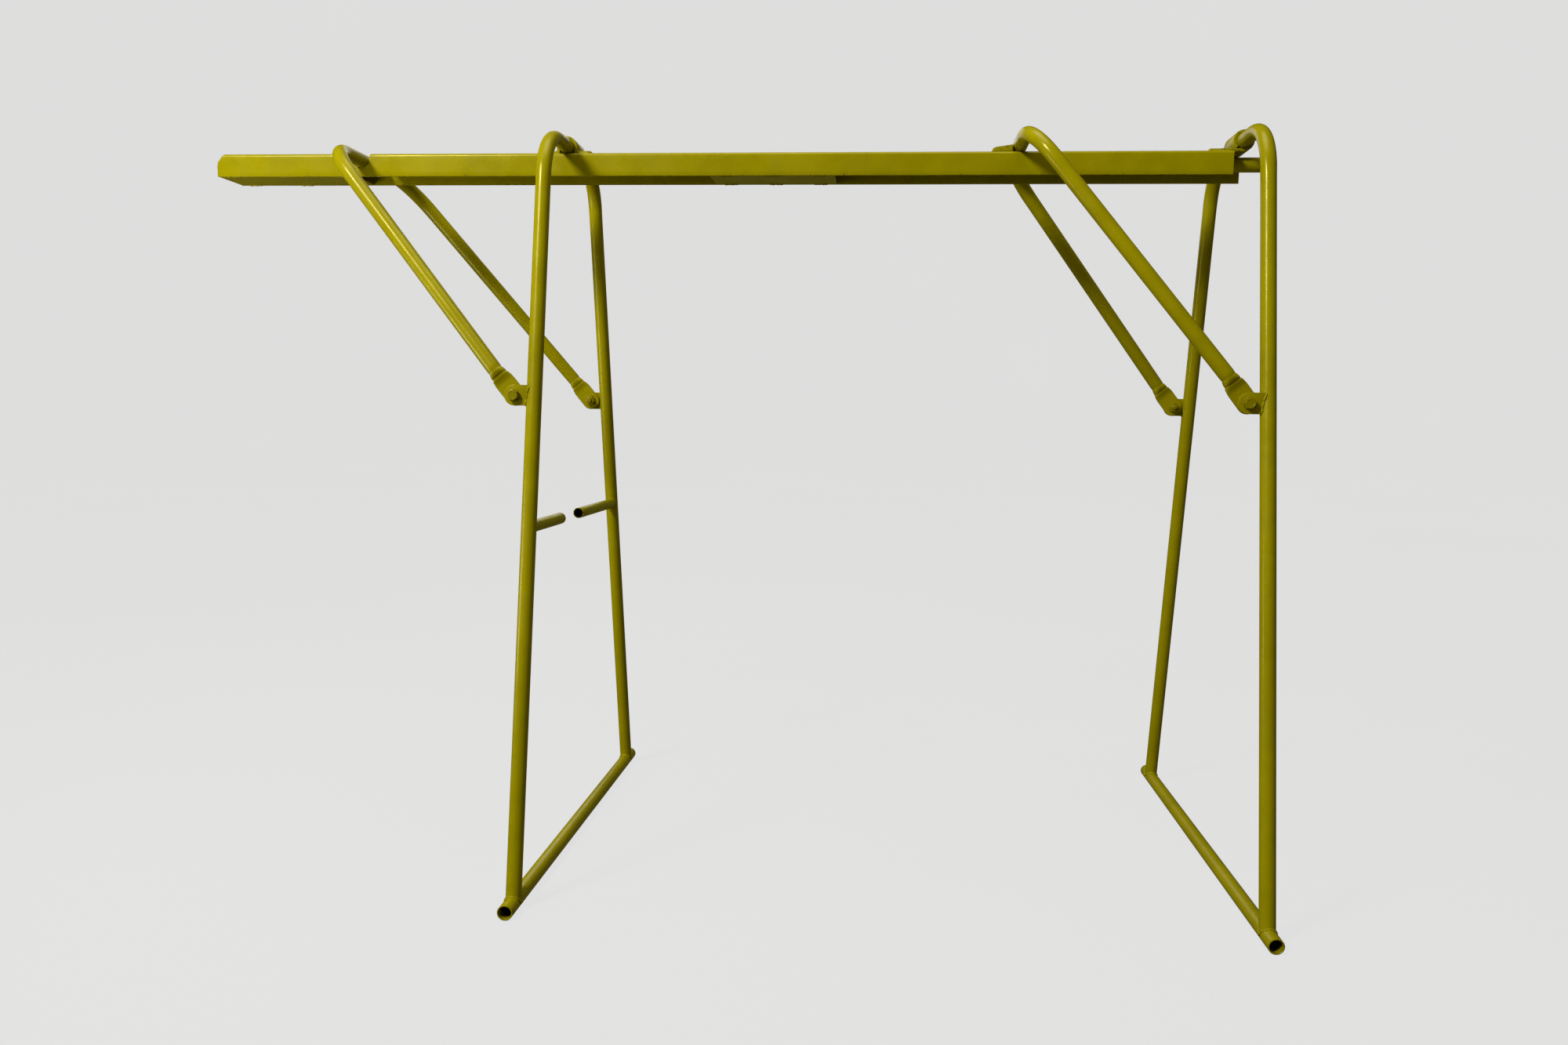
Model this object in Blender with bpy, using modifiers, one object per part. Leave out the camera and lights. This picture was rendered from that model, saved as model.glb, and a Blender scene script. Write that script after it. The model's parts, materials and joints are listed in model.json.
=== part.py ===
"""Folding steel sawhorse: a channel beam on two tube leg frames, each locked by a hairpin brace.

Metres, +Z up, +X along the beam. The origin is on the floor, under the middle of the whole object.
Both leg frames fold towards -X about the run of tube that crosses the beam.
"""

import math

import bmesh
import bpy
from mathutils import Matrix, Vector

# Gaps and tube sizes
GAP = 0.0003
TINY = 1e-6
TUBE_RADIUS = 0.010
TUBE_WALL = 0.0015
STUB_RADIUS = 0.008

# Beam: an inverted channel, open below
BEAM_TOP = 1.000
BEAM_LEFT = -0.750
BEAM_RIGHT_FRONT = 0.692
BEAM_RIGHT_REAR = 0.718
BEAM_HALF_WIDTH = 0.033
BEAM_HEIGHT = 0.032
BEAM_WALL = 0.003
BEAM_CORNER = 0.0045
END_CHAMFER_LENGTH = 0.0105
END_CHAMFER_DROP = 0.013
BATTEN_WALL = 0.003
LEFT_BATTEN = (-0.7495, -0.545)
MIDDLE_BATTEN = (-0.029, 0.148)
SPIGOT_SPAN = (0.600, 0.750)
SPIGOT_WALL = 0.002

# Pivots: a saddle strap over the left run, and a strip rolled round the right one
LEFT_PIVOT_X = -0.236
RIGHT_PIVOT_X = 0.707
STRAP_WALL = 0.004
STRAP_CLEARANCE = 0.0005
STRAP_TAIL = 0.045
STRAP_WIDTH = 0.045
SADDLE_FOOT = 0.034

# The wedge that stops the right brace's loop
STOP_SPAN = (0.366, 0.394)
STOP_HEIGHT = 0.0095
STOP_LOW_HEIGHT = 0.006
STOP_NOSE = 0.004

# The slot in the beam's top, open above, and how much its +X wall leans to clear the brace as it lifts
NOTCH_CLEARANCE = 0.0006
NOTCH_ABOVE_BEAM = 0.010
NOTCH_LEAN = 0.35

# Leg frames
LEG_HALF_WIDTH_AT_TOP = 0.1295
LEG_SPREAD = 0.1965
LEG_BEND = 0.075
FOOT_BAR_OVERHANG = 0.035
STUB_HEIGHT = 0.484
FRONT_STUB_TIP = -0.083
REAR_STUB_TIP = 0.015
STUB_CUT_REACH = 0.050

# Braces, bolted to a lug on the -X side of each leg
BOLT_HEIGHT = 0.6555
BOLT_OFFSET = 0.0254
LEFT_LOOP_OFFSET = 0.2985
RIGHT_LOOP_OFFSET = 0.3025
LEFT_LOOP_HALF_WIDTH = 0.1320
RIGHT_LOOP_HALF_WIDTH = 0.1300
LEFT_LOOP_DEPTH = 0.010
BRACE_BEND = 0.065
FLAT_HALF_THICKNESS = 0.0025
FLAT_WALL = 0.0012
# Distance from the bolt along the arm, and the half width there, as shares of the tube radius
FLAT_STATIONS = ((-0.012, 0.7), (-0.008, 1.15), (0.0, 1.38), (0.020, 1.38))
ROUND_FROM = 0.044

# Lugs and M8 fasteners
LUG_THICKNESS = 0.004
LUG_RADIUS = 0.0135
HOLE_RADIUS = 0.0043
SHANK_RADIUS = 0.004
HEAD_ACROSS_CORNERS = 0.015
HEAD_HEIGHT = 0.0053
NUT_HEIGHT = 0.0065
WASHER_RADIUS = 0.008
WASHER_THICKNESS = 0.0016
THREAD_END = 0.003

ARC_STEP = math.radians(11)
TUBE_BEVEL_RESOLUTION = 4
ROUND_SIDES = 20
HALF_TURN_POINTS = 13
CORNER_POINTS = 6
EYE_POINTS = 30
SWELL_STEPS = 4
SHARP_ANGLE = math.radians(40)
ALONG_Y = Matrix.Rotation(math.radians(90), 4, "X")
PAINT = (0.36, 0.31, 0.0)
FASTENER_PAINT = (0.30, 0.26, 0.0)

BAR_HEIGHT = TUBE_RADIUS
LEFT_PIVOT_Z = BEAM_TOP + GAP + TUBE_RADIUS
RIGHT_PIVOT_Z = LEFT_PIVOT_Z + STRAP_WALL + STRAP_CLEARANCE
LEFT_LOOP_Z = BEAM_TOP - LEFT_LOOP_DEPTH
RIGHT_LOOP_Z = BEAM_TOP + GAP + TUBE_RADIUS


def clear_scene():
    for obj in list(bpy.data.objects):
        bpy.data.objects.remove(obj, do_unlink=True)


def new_collection(name):
    collection = bpy.data.collections.new(name)
    bpy.context.scene.collection.children.link(collection)
    return collection


def painted(name, color, roughness):
    material = bpy.data.materials.new(name)
    material.use_nodes = True
    shader = material.node_tree.nodes["Principled BSDF"]
    shader.inputs["Base Color"].default_value = (*color, 1)
    shader.inputs["Roughness"].default_value = roughness
    shader.inputs["Metallic"].default_value = 0.0
    return material


def add_object(name, data, material, parent, smooth=True):
    """A node: the data as an object in the sawhorse's collection, under its body's empty."""
    obj = bpy.data.objects.new(name, data)
    SAWHORSE.objects.link(obj)
    data.materials.append(material)
    if parent:
        obj.parent = parent
        obj.matrix_parent_inverse = parent.matrix_world.inverted()
    if smooth and obj.type == "MESH":
        data.shade_smooth()
        data.set_sharp_from_angle(angle=SHARP_ANGLE)
    return obj


def body(name, location):
    """An empty on the joint's axis, which the moving pieces are parented to."""
    empty = bpy.data.objects.new(name, None)
    empty.location = location
    SAWHORSE.objects.link(empty)
    bpy.context.view_layer.update()
    return empty


def arc(centre, radius, start, end, count):
    """Points on a circle in the plane of an outline, from start to end in radians."""
    angles = [start + (end - start) * i / (count - 1) for i in range(count)]
    return [(centre[0] + radius * math.cos(a), centre[1] + radius * math.sin(a)) for a in angles]


def circle(radius, sides=ROUND_SIDES):
    """Points round a circle; the last one doesn't repeat the first."""
    return arc((0, 0), radius, 0, 2 * math.pi, sides + 1)[:-1]


def rounded_path(corners, radius):
    """The corners' path with each inner corner turned into an arc of this radius."""
    points = [Vector(corners[0])]
    for before, corner, after in zip(corners, corners[1:], corners[2:]):
        corner = Vector(corner)
        back = (Vector(before) - corner).normalized()
        ahead = (Vector(after) - corner).normalized()
        turn = math.pi - back.angle(ahead)
        reach = radius * math.tan(turn / 2)
        centre = corner + (back + ahead).normalized() * radius / math.cos(turn / 2)
        spoke = corner + back * reach - centre
        axis = (-back).cross(ahead).normalized()
        steps = max(2, round(turn / ARC_STEP))
        for i in range(steps + 1):
            points.append(centre + Matrix.Rotation(turn * i / steps, 3, axis) @ spoke)
    points.append(Vector(corners[-1]))
    return points


def tube_curve(name, points, radius, capped):
    curve = bpy.data.curves.new(name, "CURVE")
    curve.dimensions = "3D"
    curve.bevel_depth = radius
    curve.bevel_resolution = TUBE_BEVEL_RESOLUTION
    curve.use_fill_caps = capped
    spline = curve.splines.new("POLY")
    spline.points.add(len(points) - 1)
    for point, place in zip(spline.points, points):
        point.co = (*place, 1)
    return curve


def mesh_of(curve):
    """The curve's surface as a mesh, with its caps welded on."""
    carrier = bpy.data.objects.new(curve.name, curve)
    SAWHORSE.objects.link(carrier)
    graph = bpy.context.evaluated_depsgraph_get()
    mesh = bpy.data.meshes.new_from_object(carrier.evaluated_get(graph))
    bpy.data.objects.remove(carrier, do_unlink=True)
    shell = bmesh.new()
    shell.from_mesh(mesh)
    bmesh.ops.remove_doubles(shell, verts=shell.verts, dist=TINY)
    bmesh.ops.recalc_face_normals(shell, faces=shell.faces)
    shell.to_mesh(mesh)
    shell.free()
    return mesh


def hollow(obj, wall):
    solidify = obj.modifiers.new("wall", "SOLIDIFY")
    solidify.thickness = wall
    solidify.offset = -1


def cut(obj, cutter):
    difference = obj.modifiers.new(f"cut_by_{cutter.name}", "BOOLEAN")
    difference.operation = "DIFFERENCE"
    difference.solver = "EXACT"
    difference.object = cutter


def tube(name, points, radius, wall, parent):
    """An open-ended tube along the points."""
    obj = add_object(name, mesh_of(tube_curve(name, points, radius, False)), PAINTED, parent)
    hollow(obj, wall)
    return obj


def outline_curve(name, outlines, thickness):
    """A flat plate of this thickness: the first outline is its edge, the others are holes."""
    curve = bpy.data.curves.new(name, "CURVE")
    curve.dimensions = "2D"
    curve.fill_mode = "BOTH"
    curve.extrude = thickness / 2
    for outline in outlines:
        spline = curve.splines.new("POLY")
        spline.use_cyclic_u = True
        spline.points.add(len(outline) - 1)
        for point, (x, y) in zip(spline.points, outline):
            point.co = (x, y, 0, 1)
    return curve


def plate(name, outlines, thickness, centre, parent, material=None):
    """A plate that stands in the XZ plane, with its outline's origin at the centre."""
    curve = outline_curve(name, outlines, thickness)
    mesh = mesh_of(curve)
    mesh.transform(Matrix.Translation(centre) @ ALONG_Y)
    return add_object(name, mesh, material or PAINTED, parent)


def box(name, low, high, parent):
    shell = bmesh.new()
    bmesh.ops.create_cube(shell, size=1)
    size = Vector(high) - Vector(low)
    middle = (Vector(high) + Vector(low)) / 2
    shell.transform(Matrix.Translation(middle) @ Matrix.Diagonal((*size, 1)))
    mesh = bpy.data.meshes.new(name)
    shell.to_mesh(mesh)
    shell.free()
    return add_object(name, mesh, PAINTED, parent, smooth=False)


def as_cutter(name, mesh):
    obj = bpy.data.objects.new(name, mesh)
    CUTTERS.objects.link(obj)
    obj.hide_render = True
    obj.display_type = "WIRE"
    return obj


def rod_cutter(name, start, end, radius):
    return as_cutter(name, mesh_of(tube_curve(name, [Vector(start), Vector(end)], radius, True)))


def leg_y(height):
    """Half the distance between a frame's legs at this height."""
    return LEG_HALF_WIDTH_AT_TOP + LEG_SPREAD * (BEAM_TOP - height)


# Beam


def channel_profile():
    """(y, z) of the channel's outer face, from the front edge over the top to the rear edge."""
    foot = BEAM_TOP - BEAM_HEIGHT
    shoulder = BEAM_TOP - BEAM_CORNER
    inset = BEAM_HALF_WIDTH - BEAM_CORNER
    front = [(-BEAM_HALF_WIDTH, foot), (-BEAM_HALF_WIDTH, BEAM_TOP - END_CHAMFER_DROP)]
    front += arc((-inset, shoulder), BEAM_CORNER, math.pi, math.pi / 2, CORNER_POINTS)
    return front + [(-y, z) for y, z in reversed(front)]


def channel_ends(y, z):
    """Where the channel starts and stops at this point of its profile.

    Its left end has its top corner cut off, and its right end is cut on a slant.
    """
    rise = max(0.0, z - (BEAM_TOP - END_CHAMFER_DROP)) / END_CHAMFER_DROP
    across = (y + BEAM_HALF_WIDTH) / (2 * BEAM_HALF_WIDTH)
    right = BEAM_RIGHT_FRONT + (BEAM_RIGHT_REAR - BEAM_RIGHT_FRONT) * across
    return BEAM_LEFT + END_CHAMFER_LENGTH * rise, right


def notch_cutter():
    """The slot in the beam's top where the left brace drops in; its +X wall leans with the brace's lift."""
    radius = TUBE_RADIUS + NOTCH_CLEARANCE
    height = LEFT_LOOP_DEPTH + NOTCH_ABOVE_BEAM
    outline = arc((0, 0), radius, -math.pi, 0, HALF_TURN_POINTS)
    outline += [(radius + NOTCH_LEAN * height, height), (-radius, height)]
    mesh = mesh_of(outline_curve("left_notch_cutter", [outline], 4 * BEAM_HALF_WIDTH))
    x = LEFT_PIVOT_X - LEFT_LOOP_OFFSET
    mesh.transform(Matrix.Translation((x, 0, LEFT_LOOP_Z)) @ ALONG_Y)
    return as_cutter("left_notch_cutter", mesh)


def make_beam_channel():
    shell = bmesh.new()
    rows = []
    for y, z in channel_profile():
        left, right = channel_ends(y, z)
        rows.append((shell.verts.new((left, y, z)), shell.verts.new((right, y, z))))
    for (a, b), (c, d) in zip(rows, rows[1:]):
        shell.faces.new((a, b, d, c))
    bmesh.ops.recalc_face_normals(shell, faces=shell.faces)
    if sum(face.normal.z for face in shell.faces) < 0:
        bmesh.ops.reverse_faces(shell, faces=shell.faces)
    mesh = bpy.data.meshes.new("beam_channel")
    shell.to_mesh(mesh)
    shell.free()
    beam = add_object("beam_channel", mesh, PAINTED, None)
    hollow(beam, BEAM_WALL)
    beam.modifiers["wall"].use_even_offset = True
    cut(beam, notch_cutter())


def make_battens():
    foot = BEAM_TOP - BEAM_HEIGHT
    half = BEAM_HALF_WIDTH - BEAM_WALL - GAP
    for name, (start, end) in (("left_batten", LEFT_BATTEN), ("middle_batten", MIDDLE_BATTEN)):
        box(name, (start, -half, foot), (end, half, foot + BATTEN_WALL), None)


def make_spigot():
    z = BEAM_TOP - BEAM_WALL - GAP - TUBE_RADIUS
    ends = [Vector((x, 0, z)) for x in SPIGOT_SPAN]
    tube("beam_spigot", ends, TUBE_RADIUS, SPIGOT_WALL, None)


def make_loop_stop():
    """A wedge on the beam, highest where the right brace's loop comes down against it."""
    start, end = STOP_SPAN
    length = end - start
    outline = [(0, 0), (length, 0), (length, STOP_HEIGHT), (STOP_NOSE, STOP_LOW_HEIGHT), (0, STOP_NOSE)]
    width = 2 * (BEAM_HALF_WIDTH - BEAM_CORNER)
    plate("right_loop_stop", [outline], width, Vector((start, 0, BEAM_TOP + GAP)), None)


def make_saddle_strap():
    """A strip bent over the left run, with a foot on the beam at each side."""
    inner = TUBE_RADIUS + STRAP_CLEARANCE
    outer = inner + STRAP_WALL
    low = -TUBE_RADIUS
    high = low + STRAP_WALL
    outline = [(-SADDLE_FOOT, low), (-SADDLE_FOOT, high), (-outer, high)]
    outline += arc((0, 0), outer, math.pi, 0, HALF_TURN_POINTS)
    outline += [(outer, high), (SADDLE_FOOT, high), (SADDLE_FOOT, low), (inner, low)]
    outline += arc((0, 0), inner, 0, math.pi, HALF_TURN_POINTS) + [(-inner, low)]
    plate("left_pivot_strap", [outline], STRAP_WIDTH, Vector((LEFT_PIVOT_X, 0, LEFT_PIVOT_Z)), None)


def make_rolled_strap():
    """A strip rolled round the right run, with its tail lying on the beam."""
    inner = TUBE_RADIUS + STRAP_CLEARANCE
    outer = inner + STRAP_WALL
    meets_tail = math.pi + math.asin(inner / outer)
    outline = arc((0, 0), outer, -math.pi / 2, meets_tail, EYE_POINTS)
    outline += [(-STRAP_TAIL, -inner), (-STRAP_TAIL, -outer)]
    centre = Vector((RIGHT_PIVOT_X, 0, RIGHT_PIVOT_Z))
    plate("right_pivot_strap", [outline, circle(inner)], STRAP_WIDTH, centre, None)


# Leg frames


def make_leg_frame(side, x, pivot_z, parent):
    """The bent leg tube, and the foot bar that its two ends are cut to fit."""
    top_y, foot_y = leg_y(pivot_z), leg_y(BAR_HEIGHT)
    front = [(x, -foot_y, BAR_HEIGHT), (x, -top_y, pivot_z)]
    corners = front + [(x, -y, z) for x, y, z in reversed(front)]
    legs = tube(f"{side}_leg_tube", rounded_path(corners, LEG_BEND), TUBE_RADIUS, TUBE_WALL, parent)
    reach = foot_y + FOOT_BAR_OVERHANG
    ends = [Vector((x, -reach, BAR_HEIGHT)), Vector((x, reach, BAR_HEIGHT))]
    tube(f"{side}_foot_bar", ends, TUBE_RADIUS, TUBE_WALL, parent)
    cut(legs, rod_cutter(f"{side}_bar_cutter", *ends, TUBE_RADIUS + GAP))


def make_stub(name, x, tip_y, sign, parent):
    """An open tube that points inwards from a leg; folded up, it passes the beam's left end."""
    ends = [Vector((x, y, STUB_HEIGHT)) for y in (tip_y, sign * leg_y(STUB_HEIGHT))]
    stub = tube(name, ends, STUB_RADIUS, TUBE_WALL, parent)
    leg = [(x, sign * leg_y(z), z) for z in (STUB_HEIGHT - STUB_CUT_REACH, STUB_HEIGHT + STUB_CUT_REACH)]
    cut(stub, rod_cutter(f"{name}_cutter", *leg, TUBE_RADIUS + GAP))


def make_lug(name, x, sign, parent):
    bolt = Vector((x - BOLT_OFFSET, sign * (leg_y(BOLT_HEIGHT) + lug_offset()), BOLT_HEIGHT))
    to_leg = BOLT_OFFSET - TUBE_RADIUS - GAP
    outline = arc((0, 0), LUG_RADIUS, math.pi / 2, 3 * math.pi / 2, HALF_TURN_POINTS)
    outline += [(to_leg, -LUG_RADIUS), (to_leg, LUG_RADIUS)]
    plate(name, [outline, circle(HOLE_RADIUS)], LUG_THICKNESS, bolt, parent)


def lug_offset():
    """How far the lug's middle lies outside the middle of the brace's flat end."""
    return FLAT_HALF_THICKNESS + GAP + LUG_THICKNESS / 2


# Braces


def arm_direction(x, loop_offset, loop_z):
    """The arm's direction in the XZ plane, from the bolt towards the loop."""
    return Vector((BOLT_OFFSET - loop_offset, 0, loop_z - BOLT_HEIGHT)).normalized()


def flatten_end(mesh, bolt, along):
    """Presses the tube flat round the bolt, and lets it swell back to round further up the arm."""
    across = along.cross(Vector((0, 1, 0)))
    flat_to = FLAT_STATIONS[-1][0]
    for vertex in mesh.vertices:
        offset = vertex.co - bolt
        reach = offset.dot(along)
        if reach > ROUND_FROM - TINY or abs(offset.y) > 2 * TUBE_RADIUS:
            continue
        share = min(1.0, max(0.0, (ROUND_FROM - reach) / (ROUND_FROM - flat_to)))
        share = share * share * (3 - 2 * share)
        widen = flat_width(reach, share)
        thin = 1 + share * (FLAT_HALF_THICKNESS / TUBE_RADIUS - 1)
        vertex.co = bolt + along * reach + across * offset.dot(across) * widen
        vertex.co.y += offset.y * thin


def flat_width(reach, share):
    """The half width of the pressed end, as a share of the tube radius."""
    for (near, near_width), (far, far_width) in zip(FLAT_STATIONS, FLAT_STATIONS[1:]):
        if reach <= far + TINY:
            return near_width + (far_width - near_width) * max(0.0, reach - near) / (far - near)
    return 1 + share * (FLAT_STATIONS[-1][1] - 1)


def make_brace(side, x, loop_offset, loop_half_width, loop_z, parent):
    """A hairpin: two arms with flat drilled ends, joined by a run that crosses the beam."""
    along = arm_direction(x, loop_offset, loop_z)
    bolt_y = leg_y(BOLT_HEIGHT)
    flat_to = FLAT_STATIONS[-1][0]
    swell = [flat_to + (ROUND_FROM - flat_to) * i / SWELL_STEPS for i in range(1, SWELL_STEPS + 1)]
    reaches = [reach for reach, _ in FLAT_STATIONS] + swell
    end = [Vector((x - BOLT_OFFSET, -bolt_y, BOLT_HEIGHT)) + along * reach for reach in reaches]
    loop = Vector((x - loop_offset, -loop_half_width, loop_z))
    half = end[:-1] + rounded_path([end[-1], loop, Vector((loop.x, 0, loop.z))], BRACE_BEND)[:-1]
    points = half + [Vector((p.x, -p.y, p.z)) for p in reversed(half)]
    mesh = mesh_of(tube_curve(f"{side}_brace_tube", points, TUBE_RADIUS, False))
    for sign in (-1, 1):
        flatten_end(mesh, Vector((x - BOLT_OFFSET, sign * bolt_y, BOLT_HEIGHT)), along)
    brace = add_object(f"{side}_brace_tube", mesh, PAINTED, parent)
    hollow(brace, FLAT_WALL)
    for sign, place in ((-1, "front"), (1, "rear")):
        middle = Vector((x - BOLT_OFFSET, sign * bolt_y, BOLT_HEIGHT))
        drill = Vector((0, 2 * TUBE_RADIUS, 0))
        cut(brace, rod_cutter(f"{side}_{place}_drill", middle - drill, middle + drill, HOLE_RADIUS))


# Fasteners: from outside inwards, bolt head, washer, lug, flat brace end, washer and nut


def hexagon():
    return circle(HEAD_ACROSS_CORNERS / 2, 6)


def bolt_mesh():
    """A bolt along +Z: its head's underside is at 0, and its shank runs down from there."""
    gripped = LUG_THICKNESS + 2 * FLAT_HALF_THICKNESS + 2 * WASHER_THICKNESS + 5 * GAP
    tip = Vector((0, 0, -(gripped + NUT_HEIGHT + THREAD_END)))
    head = mesh_of(outline_curve("bolt_head", [hexagon()], HEAD_HEIGHT))
    head.transform(Matrix.Translation((0, 0, HEAD_HEIGHT / 2)))
    carrier = bpy.data.objects.new("bolt_carrier", head)
    CUTTERS.objects.link(carrier)
    union = carrier.modifiers.new("shank", "BOOLEAN")
    union.operation = "UNION"
    union.solver = "EXACT"
    union.object = rod_cutter("bolt_shank", (0, 0, HEAD_HEIGHT / 2), tip, SHANK_RADIUS)
    graph = bpy.context.evaluated_depsgraph_get()
    mesh = bpy.data.meshes.new_from_object(carrier.evaluated_get(graph))
    bpy.data.objects.remove(carrier, do_unlink=True)
    return mesh


def make_fasteners(side, place, x, sign, bolt, parent):
    """One bolt, two washers and a nut on the Y axis line through the brace's eye."""
    eye = Vector((x - BOLT_OFFSET, sign * leg_y(BOLT_HEIGHT), BOLT_HEIGHT))
    outward = Vector((0, sign, 0))
    lug_face = lug_offset() + LUG_THICKNESS / 2 + GAP
    flat_face = FLAT_HALF_THICKNESS + GAP
    ring = [circle(WASHER_RADIUS), circle(HOLE_RADIUS)]
    outer = eye + outward * (lug_face + WASHER_THICKNESS / 2)
    inner = eye - outward * (flat_face + WASHER_THICKNESS / 2)
    plate(f"{side}_{place}_bolt_washer", ring, WASHER_THICKNESS, outer, parent, FASTENER)
    plate(f"{side}_{place}_nut_washer", ring, WASHER_THICKNESS, inner, parent, FASTENER)
    nut = eye - outward * (flat_face + WASHER_THICKNESS + GAP + NUT_HEIGHT / 2)
    plate(f"{side}_{place}_nut", [hexagon(), circle(HOLE_RADIUS)], NUT_HEIGHT, nut, parent, FASTENER)
    mesh = bolt.copy()
    head = eye + outward * (lug_face + WASHER_THICKNESS + GAP)
    turn = Matrix.Rotation(-sign * math.radians(90), 4, "X")
    mesh.transform(Matrix.Translation(head) @ turn)
    add_object(f"{side}_{place}_bolt", mesh, FASTENER, parent)


def main():
    make_beam_channel()
    make_battens()
    make_spigot()
    make_loop_stop()
    make_saddle_strap()
    make_rolled_strap()
    bolt = bolt_mesh()
    frames = (
        ("left", LEFT_PIVOT_X, LEFT_PIVOT_Z, LEFT_LOOP_OFFSET, LEFT_LOOP_HALF_WIDTH, LEFT_LOOP_Z),
        ("right", RIGHT_PIVOT_X, RIGHT_PIVOT_Z, RIGHT_LOOP_OFFSET, RIGHT_LOOP_HALF_WIDTH, RIGHT_LOOP_Z),
    )
    for side, x, pivot_z, loop_offset, loop_half_width, loop_z in frames:
        leg_body = body(f"{side}_leg", (x, 0, pivot_z))
        brace_body = body(f"{side}_brace", (x - BOLT_OFFSET, 0, BOLT_HEIGHT))
        make_leg_frame(side, x, pivot_z, leg_body)
        make_brace(side, x, loop_offset, loop_half_width, loop_z, brace_body)
        for sign, place in ((-1, "front"), (1, "rear")):
            make_lug(f"{side}_{place}_lug", x, sign, leg_body)
            make_fasteners(side, place, x, sign, bolt, leg_body)
            if side == "left":
                tip_y = FRONT_STUB_TIP if sign < 0 else REAR_STUB_TIP
                make_stub(f"left_{place}_stub", x, tip_y, sign, leg_body)


clear_scene()
SAWHORSE = new_collection("folding_sawhorse")
CUTTERS = new_collection("cutters")
PAINTED = painted("olive_yellow_paint", PAINT, 0.35)
FASTENER = painted("painted_fasteners", FASTENER_PAINT, 0.4)
main()
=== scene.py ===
"""Looks of the folding sawhorse: painted tube, formed beam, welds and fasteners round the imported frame."""

import json
import math
import random

import bmesh
import bpy
import numpy as np
from mathutils import Matrix, Vector


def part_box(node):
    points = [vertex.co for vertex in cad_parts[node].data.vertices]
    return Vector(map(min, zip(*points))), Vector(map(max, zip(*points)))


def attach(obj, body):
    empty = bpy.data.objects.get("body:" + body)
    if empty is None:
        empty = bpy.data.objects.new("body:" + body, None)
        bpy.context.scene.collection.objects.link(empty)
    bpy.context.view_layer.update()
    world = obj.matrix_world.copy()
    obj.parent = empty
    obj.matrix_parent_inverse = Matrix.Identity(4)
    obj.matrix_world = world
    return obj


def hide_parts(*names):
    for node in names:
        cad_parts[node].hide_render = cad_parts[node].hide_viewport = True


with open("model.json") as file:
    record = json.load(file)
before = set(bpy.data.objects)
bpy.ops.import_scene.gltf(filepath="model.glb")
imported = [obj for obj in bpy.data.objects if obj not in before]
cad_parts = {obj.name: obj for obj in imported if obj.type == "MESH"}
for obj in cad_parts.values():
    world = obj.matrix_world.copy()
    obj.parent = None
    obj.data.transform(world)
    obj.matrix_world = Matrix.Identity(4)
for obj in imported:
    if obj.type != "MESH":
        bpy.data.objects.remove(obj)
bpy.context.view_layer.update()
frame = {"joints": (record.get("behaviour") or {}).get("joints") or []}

# Sizes that the CAD source also holds, in metres
TUBE_RADIUS = 0.010
TUBE_WALL = 0.0015
STUB_RADIUS = 0.008
BEAM_WALL = 0.003
BEAM_CORNER = 0.0045
END_CHAMFER_LENGTH = 0.0105
END_CHAMFER_DROP = 0.013
BEAM_RIGHT_FRONT = 0.692
SPIGOT_WALL = 0.002
STRAP_WALL = 0.004
STRAP_CLEARANCE = 0.0005
STRAP_TAIL = 0.045
SADDLE_FOOT = 0.034
STOP_NOSE = 0.004
STOP_LOW_HEIGHT = 0.006
NOTCH_CLEARANCE = 0.0006
NOTCH_ABOVE_BEAM = 0.010
NOTCH_LEAN = 0.35
LEG_HALF_WIDTH_AT_TOP = 0.1295
LEG_SPREAD = 0.1965
LEG_BEND = 0.075
BRACE_BEND = 0.065
LUG_RADIUS = 0.0135
HOLE_RADIUS = 0.0043
SHANK_RADIUS = 0.004
HEAD_ACROSS_CORNERS = 0.015
HEAD_HEIGHT = 0.0053
WASHER_RADIUS = 0.008
FLAT_HALF_THICKNESS = 0.0025
ROUND_FROM = 0.044

# Finer sizes that only the looks need, in metres
KINK_BEND = 0.040
FLAT_HALF_WIDTH = 0.0138
PRESSED_TO = 0.020
THREAD_PITCH = 0.00125
CRIMP_PLACES = (0.0325, 0.0415)
CRIMP_DEPTH = 0.0008
CRIMP_WIDTH = 0.0014

# Mesh detail
SIDES = 40
BEND_STEP = math.radians(3)
STRAIGHT_STEP = 0.012
LIP = 0.00035
COPE_DEPTH = 0.0002
WELD_LIFT = 0.0004
STITCH_LENGTH = 0.022
STITCH_PITCH = 0.07
PAINTED_BORE = 0.007
BEAD_RADIUS = 0.0021
FINE_BEAD_RADIUS = 0.0018
BEAD_SIDES = 10
BEAD_STEP = 0.0005
RIPPLE = 0.0019

joints = {joint["name"]: joint for joint in frame["joints"]}


def middle(node):
    low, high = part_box(node)
    return (low + high) / 2


PIVOTS = {side: Vector(joints[f"{side}_leg_fold"]["pos_m"]) for side in ("left", "right")}
BOLTS = {side: Vector(joints[f"{side}_brace_fold"]["pos_m"]) for side in ("left", "right")}
BAR_HEIGHT = middle("left_foot_bar").z
BEAM_LOW, BEAM_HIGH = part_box("beam_channel")
BEAM_TOP = BEAM_HIGH.z
STRAP_HALF_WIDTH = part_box("left_pivot_strap")[1].y

# Each brace's loop: its distance from the pivot, half the width between its corners, and its height
LOOPS = {
    "left": (0.2985, 0.1320, BEAM_TOP - TUBE_RADIUS),
    "right": (0.3025, 0.1300, BEAM_TOP + 0.0003 + TUBE_RADIUS),
}
APOTHEM = HEAD_ACROSS_CORNERS / 2 * math.cos(math.pi / 6)
CHAMFER_FROM = 0.955 * APOTHEM
CHAMFER_SLOPE = math.tan(math.radians(28))
HEX_SIDES = 48
FLOOR_COLOUR = (0.04, 0.04, 0.04)
FLOOR_GLOW = 18.2


# Meshes


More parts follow.
